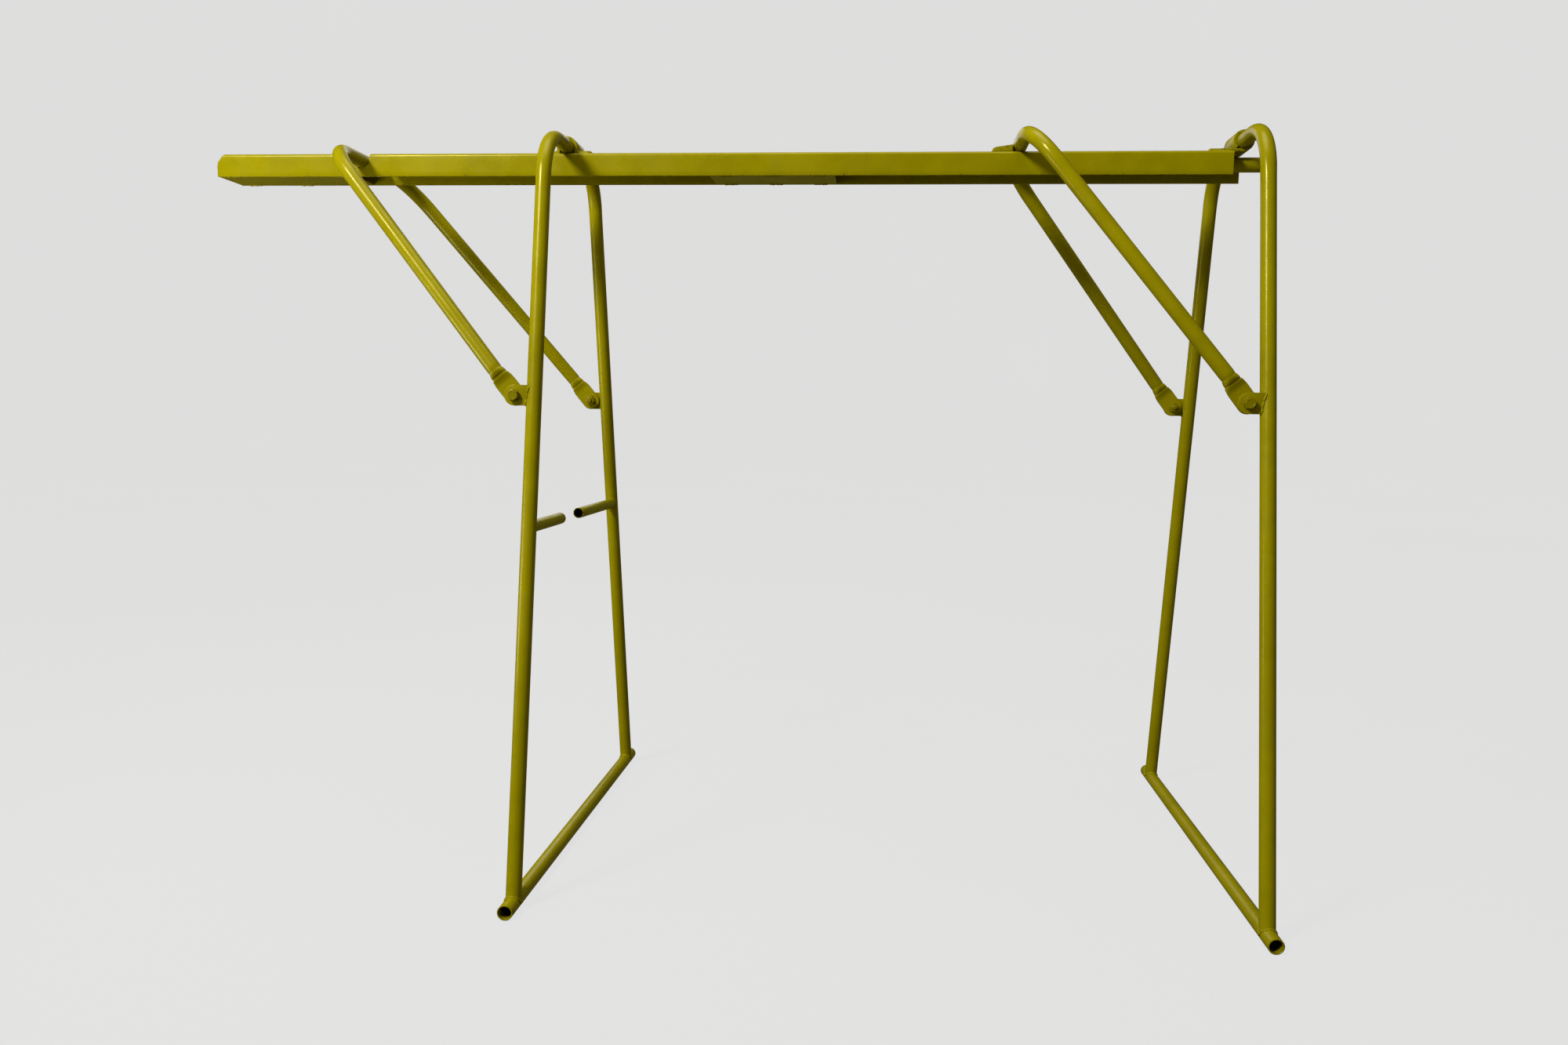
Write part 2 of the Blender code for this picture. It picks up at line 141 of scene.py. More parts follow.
def new_object(name, points, faces, smooth_angle=40):
    mesh = bpy.data.meshes.new(name)
    mesh.from_pydata([tuple(p) for p in points], [], faces)
    return from_mesh(name, mesh, smooth_angle)


def from_mesh(name, mesh, smooth_angle=40):
    shell = bmesh.new()
    shell.from_mesh(mesh)
    bmesh.ops.recalc_face_normals(shell, faces=shell.faces)
    shell.to_mesh(mesh)
    shell.free()
    mesh.shade_smooth()
    mesh.set_sharp_from_angle(angle=math.radians(smooth_angle))
    obj = bpy.data.objects.new(name, mesh)
    bpy.context.scene.collection.objects.link(obj)
    return obj


def ring_mesh(rings, closed=False):
    """Points and faces of a surface through these rings; it is capped at both ends unless it is closed."""
    sides = len(rings[0])
    points = [p for ring in rings for p in ring]
    faces = []
    for i in range(len(rings) if closed else len(rings) - 1):
        a, b = i * sides, (i + 1) % len(rings) * sides
        for j in range(sides):
            k = (j + 1) % sides
            faces.append((a + j, a + k, b + k, b + j))
    if not closed:
        faces.append(tuple(reversed(range(sides))))
        faces.append(tuple(range(len(points) - sides, len(points))))
    return points, faces


def set_attribute(obj, name, values):
    attribute = obj.data.attributes.new(name, "FLOAT", "POINT")
    attribute.data.foreach_set("value", np.asarray(values, np.float32))


def modified(obj):
    """The object with its modifiers worked into its mesh."""
    graph = bpy.context.evaluated_depsgraph_get()
    mesh = bpy.data.meshes.new_from_object(obj.evaluated_get(graph))
    obj.modifiers.clear()
    obj.data = mesh
    return obj


def cut(obj, cutter):
    difference = obj.modifiers.new("cut", "BOOLEAN")
    difference.operation = "DIFFERENCE"
    difference.solver = "EXACT"
    difference.object = cutter
    modified(obj)
    obj.data.shade_smooth()
    obj.data.set_sharp_from_angle(angle=math.radians(40))
    bpy.data.objects.remove(cutter, do_unlink=True)


def soften(obj, width, segments=2):
    """Rounds the sharp edges a little."""
    bevel = obj.modifiers.new("edges", "BEVEL")
    bevel.width = width
    bevel.segments = segments
    bevel.limit_method = "ANGLE"
    bevel.angle_limit = math.radians(35)
    bevel.use_clamp_overlap = True
    modified(obj)
    obj.data.shade_smooth()
    obj.data.set_sharp_from_angle(angle=math.radians(50))


def arc(centre, radius, start, end, count):
    angles = np.linspace(start, end, count)
    return [(centre[0] + radius * math.cos(a), centre[1] + radius * math.sin(a)) for a in angles]


def rod(name, start, end, radius, sides=SIDES):
    start, end = Vector(start), Vector(end)
    along = (end - start).normalized()
    first = along.orthogonal().normalized()
    second = along.cross(first)
    around = [first * x + second * y for x, y in arc((0, 0), radius, 0, 2 * math.pi, sides + 1)[:-1]]
    return new_object(name, *ring_mesh([[p + a for a in around] for p in (start, end)]))


# Materials: node set-ups in object space, which is the frame's own space at rest


class Shader:
    """Small helper for building one material's nodes."""

    def __init__(self, name):
        self.material = bpy.data.materials.new(name)
        self.material.use_nodes = True
        self.tree = self.material.node_tree
        self.surface = self.tree.nodes["Principled BSDF"]
        self.place = self.add("ShaderNodeTexCoord").outputs["Object"]

    def add(self, kind, **settings):
        node = self.tree.nodes.new(kind)
        for key, value in settings.items():
            setattr(node, key, value)
        return node

    def join(self, source, target):
        if isinstance(source, (int, float)):
            target.default_value = source
        elif isinstance(source, tuple):
            target.default_value = (*source, 1.0)
        else:
            self.tree.links.new(source, target)

    def noise(self, scale, detail=4.0, rough=0.55, place=None):
        node = self.add("ShaderNodeTexNoise")
        node.inputs["Scale"].default_value = scale
        node.inputs["Detail"].default_value = detail
        node.inputs["Roughness"].default_value = rough
        self.join(place or self.place, node.inputs["Vector"])
        return node.outputs["Fac"]

    def ramp(self, value, low, high, to_low=0.0, to_high=1.0):
        node = self.add("ShaderNodeMapRange", interpolation_type="SMOOTHSTEP")
        self.join(value, node.inputs["Value"])
        for key, number in (("From Min", low), ("From Max", high), ("To Min", to_low), ("To Max", to_high)):
            node.inputs[key].default_value = number
        return node.outputs["Result"]

    def math(self, operation, a, b=0.0, clamp=False):
        node = self.add("ShaderNodeMath", operation=operation, use_clamp=clamp)
        self.join(a, node.inputs[0])
        self.join(b, node.inputs[1])
        return node.outputs[0]

    def mix(self, share, a, b):
        node = self.add("ShaderNodeMix", data_type="RGBA")
        self.join(share, node.inputs["Factor"])
        self.join(a, node.inputs["A"])
        self.join(b, node.inputs["B"])
        return node.outputs["Result"]

    def attribute(self, name):
        return self.add("ShaderNodeAttribute", attribute_name=name).outputs["Fac"]

    def bump(self, height, strength, distance, under=None):
        node = self.add("ShaderNodeBump")
        node.inputs["Strength"].default_value = strength
        node.inputs["Distance"].default_value = distance
        self.join(height, node.inputs["Height"])
        if under is not None:
            self.join(under, node.inputs["Normal"])
        return node.outputs["Normal"]


def paint_material(name, bright, deep, roughness, chipping):
    """Semi-gloss enamel over dark primer: sags and orange peel, worn through on rims and rubbed places."""
    m = Shader(name)
    broad = m.ramp(m.noise(5.5, 3.0), 0.36, 0.66)
    patches = m.ramp(m.noise(38.0, 5.0), 0.35, 0.70)
    colour = m.mix(m.math("MULTIPLY", broad, 0.45), bright, deep)
    colour = m.mix(m.math("MULTIPLY", patches, 0.20), colour, tuple(0.72 * c for c in deep))
    speckle = m.ramp(m.noise(300.0, 2.0), 0.62, 0.76)
    colour = m.mix(m.math("MULTIPLY", speckle, 0.08), colour, tuple(0.45 * c for c in deep))
    weld = m.attribute("weld")
    soot = m.math("MULTIPLY", weld, m.ramp(m.noise(150.0, 4.0), 0.35, 0.75))
    colour = m.mix(m.math("MULTIPLY", soot, 0.35), colour, tuple(0.5 * c for c in deep))
    grain = m.noise(240.0, 5.0, 0.65)
    rub = m.math("MAXIMUM", m.attribute("rub"), m.math("MULTIPLY", m.attribute("scuff"), 0.9))
    local = m.math("ADD", m.math("MULTIPLY", rub, 0.22), grain)
    worn = m.math("MULTIPLY", m.ramp(local, 0.74, 0.79), chipping)
    primer = m.mix(m.ramp(grain, 0.50, 0.57), (0.050, 0.036, 0.006), (0.085, 0.066, 0.010))
    colour = m.mix(worn, colour, primer)
    bare = m.attribute("bare")
    rust = m.mix(m.noise(90.0, 5.0), (0.010, 0.007, 0.002), (0.030, 0.018, 0.005))
    colour = m.mix(bare, colour, rust)
    m.join(colour, m.surface.inputs["Base Color"])
    rough = m.ramp(m.noise(24.0, 4.0), 0.30, 0.72, roughness - 0.06, roughness + 0.08)
    rough = m.math("ADD", rough, m.math("MULTIPLY", m.math("MAXIMUM", worn, bare), 0.35))
    m.join(m.math("ADD", rough, m.math("MULTIPLY", weld, 0.05)), m.surface.inputs["Roughness"])
    m.surface.inputs["Metallic"].default_value = 0.0
    m.surface.inputs["IOR"].default_value = 1.5
    m.surface.inputs["Specular IOR Level"].default_value = 0.38
    m.surface.inputs["Specular Tint"].default_value = (1.0, 0.93, 0.30, 1.0)
    sags = m.bump(m.noise(30.0, 3.0), 0.30, 0.0006)
    peel = m.bump(m.noise(300.0, 1.0), 0.10, 0.00012, sags)
    chip_edges = m.bump(m.math("SUBTRACT", 1.0, worn), 0.8, 0.00012, peel)
    m.join(chip_edges, m.surface.inputs["Normal"])
    return m.material


MATERIALS = {
    "paint": paint_material("olive_yellow_enamel", (0.372, 0.318, 0.0), (0.262, 0.221, 0.0), 0.27, 0.85),
    "fasteners": paint_material("enamelled_fasteners", (0.310, 0.260, 0.0), (0.195, 0.160, 0.0), 0.33, 1.0),
}


def finish_piece(obj, body, slot, *nodes):
    """Gives the piece its finish, its body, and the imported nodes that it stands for."""
    obj.data.materials.clear()
    obj.data.materials.append(MATERIALS[slot])
    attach(obj, body)
    if nodes:
        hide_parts(*nodes)


# Paths: (point, tangent) along a flat line of straight runs and bends


def rounded_path(corners, radii):
    """Dense points on the corners' path, with each inner corner turned into a bend of its radius."""
    corners = [Vector(c) for c in corners]
    points = [corners[0]]
    for before, corner, after, radius in zip(corners, corners[1:], corners[2:], radii):
        back = (before - corner).normalized()
        ahead = (after - corner).normalized()
        turn = math.pi - back.angle(ahead)
        centre = corner + (back + ahead).normalized() * radius / math.cos(turn / 2)
        spoke = corner + back * radius * math.tan(turn / 2) - centre
        axis = (-back).cross(ahead).normalized()
        steps = max(2, round(turn / BEND_STEP))
        bend = [centre + Matrix.Rotation(turn * i / steps, 3, axis) @ spoke for i in range(steps + 1)]
        points += straight(points[-1], bend[0])[1:-1] + bend
    return points + straight(points[-1], corners[-1])[1:]


def straight(start, end):
    steps = max(1, math.ceil((end - start).length / STRAIGHT_STEP))
    return [start.lerp(end, i / steps) for i in range(steps + 1)]


def tangents(points):
    inner = [(after - before).normalized() for before, after in zip(points, points[2:])]
    return [(points[1] - points[0]).normalized()] + inner + [(points[-1] - points[-2]).normalized()]


def bend_share(points, index):
    """How strongly the path turns at this point, from 0 on a straight run to 1 in a bend."""
    if index in (0, len(points) - 1):
        return 0.0
    back = (points[index] - points[index - 1]).normalized()
    ahead = (points[index + 1] - points[index]).normalized()
    return min(1.0, back.angle(ahead, 0.0) / BEND_STEP)


def rounded_square(angle, power):
    """A point of a superellipse: power 2 is round, and a higher one is flatter on its sides."""
    c, s = math.cos(angle), math.sin(angle)
    return math.copysign(abs(c) ** (2 / power), c), math.copysign(abs(s) ** (2 / power), s)


def ring(centre, side, up, half_side, half_up, power=2.0):
    points = []
    for i in range(SIDES):
        x, y = rounded_square(2 * math.pi * i / SIDES, power)
        points.append(centre + side * x * half_side + up * y * half_up)
    return points


def open_tube(name, start, end, radius, wall):
    """A straight tube with rounded lips and a true bore; the bore is left bare."""
    start, end = Vector(start), Vector(end)
    along = (end - start).normalized()
    up = along.orthogonal().normalized()
    side = along.cross(up)
    length = (end - start).length
    steps = max(2, round(length / STRAIGHT_STEP))
    inner = radius - wall
    stations = [(LIP * 0.3, radius - LIP * 0.3), (LIP, radius)]
    stations += [(length * i / steps, radius) for i in range(1, steps)]
    stations += [(length - LIP, radius), (length - LIP * 0.3, radius - LIP * 0.3), (length, radius - LIP)]
    stations += [(length, inner + LIP), (length - LIP, inner), (length - PAINTED_BORE, inner)]
    stations += [(length - 2 * PAINTED_BORE, inner), (2 * PAINTED_BORE, inner), (PAINTED_BORE, inner)]
    stations += [(LIP, inner), (0, inner + LIP), (0, radius - LIP)]
    rings = [ring(start + along * s, side, up, r, r) for s, r in stations]
    obj = new_object(name, *ring_mesh(rings, closed=True))
    bore = [float(r <= inner + LIP * 0.5 and min(s, length - s) > 1.5 * PAINTED_BORE) for s, r in stations]
    set_attribute(obj, "bare", np.repeat(bore, SIDES))
    lip = [float(min(s, length - s) <= LIP and r > inner + LIP) for s, r in stations]
    set_attribute(obj, "rub", np.repeat(lip, SIDES))
    return obj


# Weld beads


def bead(name, path, radius=BEAD_RADIUS, closed=False, seed=1):
    """A weld laid along the path: its ripples lap over each other, and its width wanders a little."""
    draw = random.Random(seed)
    points = resampled([Vector(p) for p in path], closed)
    count = len(points)
    spans = count if closed else count - 1
    ripples = max(3, round(spans * BEAD_STEP / RIPPLE))
    sizes = [draw.uniform(0.90, 1.08) for _ in range(ripples + 1)]
    slides = [draw.uniform(-0.12, 0.12) for _ in range(ripples + 1)]
    rings = []
    previous = None
    for i, point in enumerate(points):
        if closed:
            along = (points[(i + 1) % count] - points[i - 1]).normalized()
        else:
            along = (points[min(i + 1, count - 1)] - points[max(i - 1, 0)]).normalized()
        if previous is None:
            previous = along.orthogonal().normalized()
        side = (previous - along * previous.dot(along)).normalized()
        previous = side
        up = along.cross(side)
        place = i / spans * ripples
        index = int(place) % ripples
        phase = place - int(place)
        lap = 0.88 + 0.17 * phase ** 0.6 * (1.0 if phase < 0.85 else (1 - phase) / 0.15)
        size = radius * lap * sizes[index]
        if not closed:
            near_end = min(i, count - 1 - i) * BEAD_STEP / (radius * 1.3)
            size *= math.sqrt(min(1.0, 0.04 + near_end))
        centre = point + (side * slides[index] + up * slides[index - 1]) * radius
        circle = arc((0, 0), size, 0, 2 * math.pi, BEAD_SIDES + 1)[:-1]
        rings.append([centre + side * x + up * y for x, y in circle])
    obj = new_object(name, *ring_mesh(rings, closed), smooth_angle=75)
    set_attribute(obj, "weld", np.ones(len(obj.data.vertices)))
    return obj


def resampled(path, closed):
    """The path's points at an even step."""
    if closed:
        path = path + [path[0]]
    reach = [0.0]
    for a, b in zip(path, path[1:]):
        reach.append(reach[-1] + (b - a).length)
    count = max(6, round(reach[-1] / BEAD_STEP))
    wanted = np.linspace(0, reach[-1], count + 1)
    axes = [np.interp(wanted, reach, [p[k] for p in path]) for k in range(3)]
    points = [Vector(p) for p in zip(*axes)]
    return points[:-1] if closed else points


# Leg frames


def leg_y(height):
    return LEG_HALF_WIDTH_AT_TOP + LEG_SPREAD * (BEAM_TOP - height)


def leg_axis(side, sign, height):
    return Vector((PIVOTS[side].x, sign * leg_y(height), height))


def coped_end(axis_point, along, side, up, radius, rod_point, rod_axis):
    """Where each line along a tube's surface meets the main tube that it is welded to."""
    ends = []
    for i in range(SIDES):
        angle = 2 * math.pi * i / SIDES
        start = axis_point + side * math.cos(angle) * radius + up * math.sin(angle) * radius
        reach = reach_to_rod(start, along, rod_point, rod_axis, TUBE_RADIUS - COPE_DEPTH)
        ends.append(start + along * reach)
    return ends


def reach_to_rod(start, along, rod_point, rod_axis, rod_radius):
    """How far along the line it first meets the round rod; a line that misses it stops beside it."""
    across = along - rod_axis * along.dot(rod_axis)
    gap = start - rod_point
    gap = gap - rod_axis * gap.dot(rod_axis)
    a, b = across.dot(across), 2 * across.dot(gap)
    c = gap.dot(gap) - rod_radius**2
    inside = max(0.0, b * b - 4 * a * c)
    return (-b - math.sqrt(inside)) / (2 * a)


def make_leg_frame(side):
    """One bent tube: leg, run over the beam, leg. Its ends are cut to sit on the foot bar."""
    pivot = PIVOTS[side]
    corners = [leg_axis(side, -1, BAR_HEIGHT), Vector((pivot.x, -leg_y(pivot.z), pivot.z))]
    corners += [Vector((p.x, -p.y, p.z)) for p in reversed(corners)]
    start = leg_axis(side, -1, BAR_HEIGHT + 2.5 * TUBE_RADIUS)
    end = leg_axis(side, 1, BAR_HEIGHT + 2.5 * TUBE_RADIUS)
    path = rounded_path([start, corners[1], corners[2], end], [LEG_BEND, LEG_BEND])
    up = Vector((1, 0, 0))
    bar_point = Vector((pivot.x, 0, BAR_HEIGHT))
    outer, inner = [], []
    for i, (point, along) in enumerate(zip(path, tangents(path))):
        bend = bend_share(path, i)
        across = up.cross(along)
        squash, swell = 1 - 0.05 * bend, 1 + 0.02 * bend
        outer.append(ring(point, across, up, TUBE_RADIUS * squash, TUBE_RADIUS * swell))
        bore = TUBE_RADIUS - TUBE_WALL
        inner.append(ring(point, across, up, bore * squash, bore * swell))

    def coped(index, outward, radius):
        along = tangents(path)[index]
        across = up.cross(along)
        return coped_end(path[index], along * outward, across, up, radius, bar_point, Vector((0, 1, 0)))

    bore = TUBE_RADIUS - TUBE_WALL
    first, last = coped(0, -1, TUBE_RADIUS), coped(-1, 1, TUBE_RADIUS)
    rings = [first] + outer + [last, coped(-1, 1, bore)] + inner[::-1] + [coped(0, -1, bore)]
    legs = new_object(f"{side}_leg_frame", *ring_mesh(rings, closed=True))
    bare = [0.0] * (len(outer) + 2) + [1.0] * (len(inner) + 2)
    set_attribute(legs, "bare", np.repeat(bare, SIDES))
    rub = [strap_rub(side, p) for p in legs.data.vertices]
    set_attribute(legs, "rub", rub)
    finish_piece(legs, f"{side}_leg", "paint", f"{side}_leg_tube")
    for name, weld, seed in ((f"{side}_front_foot_weld", first, 3), (f"{side}_rear_foot_weld", last, 4)):
        finish_piece(bead(name, weld, closed=True, seed=seed), f"{side}_leg", "paint")


def strap_rub(side, vertex):
    """The run is rubbed where it turns in its strap."""
    pivot = PIVOTS[side]
    offset = vertex.co - pivot
    if abs(offset.z) > 1.5 * TUBE_RADIUS:
        return 0.0
    half = STRAP_HALF_WIDTH
    return float(max(0.0, 1 - abs(abs(offset.y) - half) / 0.006))


def make_foot_bar(side):
    low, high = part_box(f"{side}_foot_bar")
    x, z = (low.x + high.x) / 2, BAR_HEIGHT
    bar = open_tube(f"{side}_foot_rail", (x, low.y, z), (x, high.y, z), TUBE_RADIUS, TUBE_WALL)
    scuff = [float(max(0.0, 1 - v.co.z / 0.0035)) for v in bar.data.vertices]
    set_attribute(bar, "scuff", scuff)
    finish_piece(bar, f"{side}_leg", "paint", f"{side}_foot_bar")


def make_stub(place, sign):
    low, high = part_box(f"left_{place}_stub")
    z = (low.z + high.z) / 2
    x = PIVOTS["left"].x
    tip = high.y if sign < 0 else low.y
    leg_point = leg_axis("left", sign, z)
    leg_line = (leg_axis("left", sign, z + 0.1) - leg_point).normalized()
    outward, up = Vector((0, sign, 0)), Vector((0, 0, 1))
    side = outward.cross(up)
    base = leg_point - outward * 2.5 * TUBE_RADIUS
    bore = STUB_RADIUS - TUBE_WALL
    start = Vector((x, tip, z))

    def at(s, radius):
        return ring(start + outward * s, side, up, radius, radius)

    length = (base - start).length
    weld = coped_end(base, outward, side, up, STUB_RADIUS, leg_point, leg_line)
    rings = [at(0, STUB_RADIUS - LIP), at(LIP * 0.3, STUB_RADIUS - LIP * 0.3), at(LIP, STUB_RADIUS)]
    rings += [at(length * i / 6, STUB_RADIUS) for i in range(1, 7)]
    rings += [weld, coped_end(base, outward, side, up, bore, leg_point, leg_line)]
    inner_from = len(rings) - 1
    rings += [at(length, bore), at(LIP, bore), at(0, bore + LIP)]
    stub = new_object(f"left_{place}_beam_stub", *ring_mesh(rings, closed=True))
    bare = [float(i >= inner_from) for i in range(len(rings))]
    set_attribute(stub, "bare", np.repeat(bare, SIDES))
    rub = [max(0.0, 1 - abs(v.co.y - tip) / 0.004) for v in stub.data.vertices]
    set_attribute(stub, "rub", rub)
    finish_piece(stub, "left_leg", "paint", f"left_{place}_stub")
    stub_weld = bead(f"left_{place}_stub_weld", weld, FINE_BEAD_RADIUS, closed=True, seed=11 + sign)
    finish_piece(stub_weld, "left_leg", "paint")


# Plates: an outline in the XZ plane, with rounded edges


def plate(name, outlines, thickness, centre, edge=0.0004):
    curve = bpy.data.curves.new(name, "CURVE")
    curve.dimensions = "2D"
    curve.fill_mode = "BOTH"
    curve.extrude = thickness / 2 - edge
    curve.bevel_depth = edge
    curve.bevel_resolution = 2
    curve.offset = -edge
    for outline in outlines:
        spline = curve.splines.new("POLY")
        spline.use_cyclic_u = True
        spline.points.add(len(outline) - 1)
        for point, (x, y) in zip(spline.points, outline):
            point.co = (x, y, 0, 1)
    carrier = bpy.data.objects.new(name, curve)
    bpy.context.scene.collection.objects.link(carrier)
    graph = bpy.context.evaluated_depsgraph_get()
    mesh = bpy.data.meshes.new_from_object(carrier.evaluated_get(graph))
    bpy.data.objects.remove(carrier, do_unlink=True)
    shell = bmesh.new()
    shell.from_mesh(mesh)
    bmesh.ops.remove_doubles(shell, verts=shell.verts, dist=1e-6)
    shell.to_mesh(mesh)
    shell.free()
    mesh.materials.clear()
    mesh.transform(Matrix.Translation(centre) @ Matrix.Rotation(math.radians(90), 4, "X"))
    return from_mesh(name, mesh)


def circle(radius, sides=SIDES):
    return arc((0, 0), radius, 0, 2 * math.pi, sides + 1)[:-1]


def prism(name, outline, low_y, high_y):
    """The XZ outline as a block between two Y planes."""
    return new_object(name, *ring_mesh([[Vector((x, y, z)) for x, z in outline] for y in (low_y, high_y)]))


def block_steps(low, high, edge):
    """Grid lines from one side of a block to the other: close together in its rounded edges."""
    inner = np.linspace(low + edge, high - edge, max(2, round((high - low) / 0.006)))
    near = [low + edge * share for share in (0.0, 0.4, 0.75)]
    return near + list(inner) + [high + low - value for value in reversed(near)]


def rounded_block(name, low, high, edge):
    """A block whose edges and corners are rounded; its edges are a little rubbed."""
    steps = [block_steps(low[k], high[k], edge) for k in range(3)]
    points, faces = [], []
    for k in range(3):
        u, v = (k + 1) % 3, (k + 2) % 3
        for side in (low[k], high[k]):
            base = len(points)
            for a in steps[u]:
                for b in steps[v]:
                    point = Vector((0, 0, 0))
                    point[k], point[u], point[v] = side, a, b
                    points.append(point)
            rows, columns = len(steps[u]), len(steps[v])
            for i in range(rows - 1):
                for j in range(columns - 1):
                    corner = base + i * columns + j
                    faces.append((corner, corner + 1, corner + columns + 1, corner + columns))
    cores = [Vector(min(max(p[k], low[k] + edge), high[k] - edge) for k in range(3)) for p in points]
    points = [core + (p - core).normalized() * edge for p, core in zip(points, cores)]
    block = new_object(name, points, faces)
    shell = bmesh.new()
    shell.from_mesh(block.data)
    bmesh.ops.remove_doubles(shell, verts=shell.verts, dist=1e-6)
    bmesh.ops.recalc_face_normals(shell, faces=shell.faces)
    shell.to_mesh(block.data)
    shell.free()
    rub = []
    for vertex in block.data.vertices:
        nearness = sorted(min(vertex.co[k] - low[k], high[k] - vertex.co[k]) for k in range(3))
        rub.append(0.5 * max(0.0, 1 - nearness[1] / (1.4 * edge)))
    set_attribute(block, "rub", rub)
    return block


def lay_welds(name, body, lines, radius, seed):
    for i, (start, end) in enumerate(lines):
        finish_piece(bead(f"{name}_weld_{i + 1}", [start, end], radius, seed=seed + i), body, "paint")


def edge_rub(obj, half_width):
    """Rubs a plate's edges at its two sides."""
    rub = [0.8 * max(0.0, 1 - (half_width - abs(v.co.y)) / 0.0008) for v in obj.data.vertices]
    set_attribute(obj, "rub", rub)


def make_saddle_strap():
    """A strip bent over the left run, with a foot on the beam at each side."""
    pivot = PIVOTS["left"]
    low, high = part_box("left_pivot_strap")
    inner = TUBE_RADIUS + STRAP_CLEARANCE
    outer = inner + STRAP_WALL
    under, over = low.z - pivot.z, low.z - pivot.z + STRAP_WALL
    root = 0.0025
    outline = [(-SADDLE_FOOT, under), (-SADDLE_FOOT, over)]
    outline += arc((-outer - root, over + root), root, -math.pi / 2, 0, 7)
    outline += arc((0, 0), outer, math.pi, 0, 41)
    outline += arc((outer + root, over + root), root, math.pi, 1.5 * math.pi, 7)
    outline += [(SADDLE_FOOT, over), (SADDLE_FOOT, under), (inner, under)]
    outline += arc((0, 0), inner, 0, math.pi, 41) + [(-inner, under)]
    strap = plate("left_hinge_saddle", [outline], high.y - low.y, Vector((pivot.x, 0, pivot.z)), 0.0005)
    edge_rub(strap, high.y)
    finish_piece(strap, "beam", "paint", "left_pivot_strap")
    foot = low.z + WELD_LIFT
    lines = []
    for sign in (-1, 1):
        end = pivot.x + sign * SADDLE_FOOT
        lines.append((Vector((end, low.y + 0.001, foot)), Vector((end, high.y - 0.001, foot))))
        for y in (low.y, high.y):
            lines.append((Vector((end - sign * 0.002, y, foot)), Vector((end - sign * 0.018, y, foot))))
    lay_welds("left_saddle", "beam", lines, BEAD_RADIUS, 30)


def make_rolled_strap():
    """A strip rolled round the right run; its tail lies on the beam, and its end comes back to the tail."""
    pivot = PIVOTS["right"]
    low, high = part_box("right_pivot_strap")
    inner = TUBE_RADIUS + STRAP_CLEARANCE
    outer = inner + STRAP_WALL
    closes_at = math.pi + math.asin(inner / outer)
    outline = [(-STRAP_TAIL, -outer)] + arc((0, 0), outer, -math.pi / 2, closes_at, 56)
    outline += arc((0, 0), inner, closes_at, -math.pi / 2, 56) + [(-STRAP_TAIL, -inner)]
    strap = plate("right_hinge_strap", [outline], high.y - low.y, Vector((pivot.x, 0, pivot.z)), 0.0005)
    edge_rub(strap, high.y)
    finish_piece(strap, "beam", "paint", "right_pivot_strap")
    foot = low.z + WELD_LIFT
    tail_end = pivot.x - STRAP_TAIL
    seam = Vector((pivot.x + outer * math.cos(closes_at), 0, pivot.z - inner + 0.0002))
    lines = [(seam + Vector((0, low.y + 0.003, 0)), seam + Vector((0, high.y - 0.003, 0)))]
    lines.append((Vector((tail_end, low.y + 0.001, foot)), Vector((tail_end, high.y - 0.001, foot))))
    for y in (low.y, high.y):
        lines.append((Vector((tail_end + 0.003, y, foot)), Vector((pivot.x - 0.020, y, foot))))
    lay_welds("right_strap", "beam", lines, FINE_BEAD_RADIUS, 40)


def make_loop_stop():
    """A wedge on the beam, highest where the right brace's loop comes down against it."""
    low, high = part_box("right_loop_stop")
    length, height = high.x - low.x, high.z - low.z
    outline = [(0, 0), (length, 0), (length, height), (STOP_NOSE, STOP_LOW_HEIGHT), (0, STOP_NOSE)]
    stop = plate("brace_stop_wedge", [outline], high.y - low.y, Vector((low.x, 0, low.z)), 0.0009)
    edge_rub(stop, high.y)
    finish_piece(stop, "beam", "paint", "right_loop_stop")
    foot = low.z + WELD_LIFT
    lines = [(Vector((low.x, low.y + 0.002, foot)), Vector((low.x, high.y - 0.002, foot)))]
    lines.append((Vector((low.x + 0.003, high.y, foot)), Vector((high.x - 0.003, high.y, foot))))
    lay_welds("brace_stop", "beam", lines, FINE_BEAD_RADIUS, 46)


# Beam


def beam_ends(y, z):
    """The channel's left end has its top corner cut off, and its right end is cut on a slant."""
    rise = max(0.0, z - (BEAM_TOP - END_CHAMFER_DROP)) / END_CHAMFER_DROP
    across = (y - BEAM_LOW.y) / (BEAM_HIGH.y - BEAM_LOW.y)
    right = BEAM_RIGHT_FRONT + (BEAM_HIGH.x - BEAM_RIGHT_FRONT) * across
    return BEAM_LOW.x + END_CHAMFER_LENGTH * rise, right


def channel_line(offset, count):
    """(y, z) over the channel from its front foot to its rear foot, this far inside its outer face."""
    half = BEAM_HIGH.y - offset
    inset = BEAM_HIGH.y - BEAM_CORNER
    shoulder = BEAM_TOP - BEAM_CORNER
    heights = np.linspace(BEAM_LOW.z, shoulder, 5)[:-1]
    front = [(-half, z) for z in heights]
    front += arc((-inset, shoulder), BEAM_CORNER - offset, math.pi, math.pi / 2, count)
    top = [(y, BEAM_TOP - offset) for y in np.linspace(-inset, inset, 7)[1:-1]]
    return front + top + [(-y, z) for y, z in reversed(front)]


def beam_wave(x, y, z):
    """How far the formed sheet is from true: a fraction of a millimetre over its length."""
    flange = 0.00022 * math.sin(9.1 * x + 0.6) + 0.00013 * math.sin(23.0 * x + 2.1)
    web = 0.00020 * math.sin(6.3 * x + 1.9) + 0.00012 * math.sin(31.0 * x)
    low = (BEAM_TOP - z) / (BEAM_TOP - BEAM_LOW.z)
    return flange * low, web * (1 - min(1.0, abs(y) / BEAM_HIGH.y)) - 0.0001


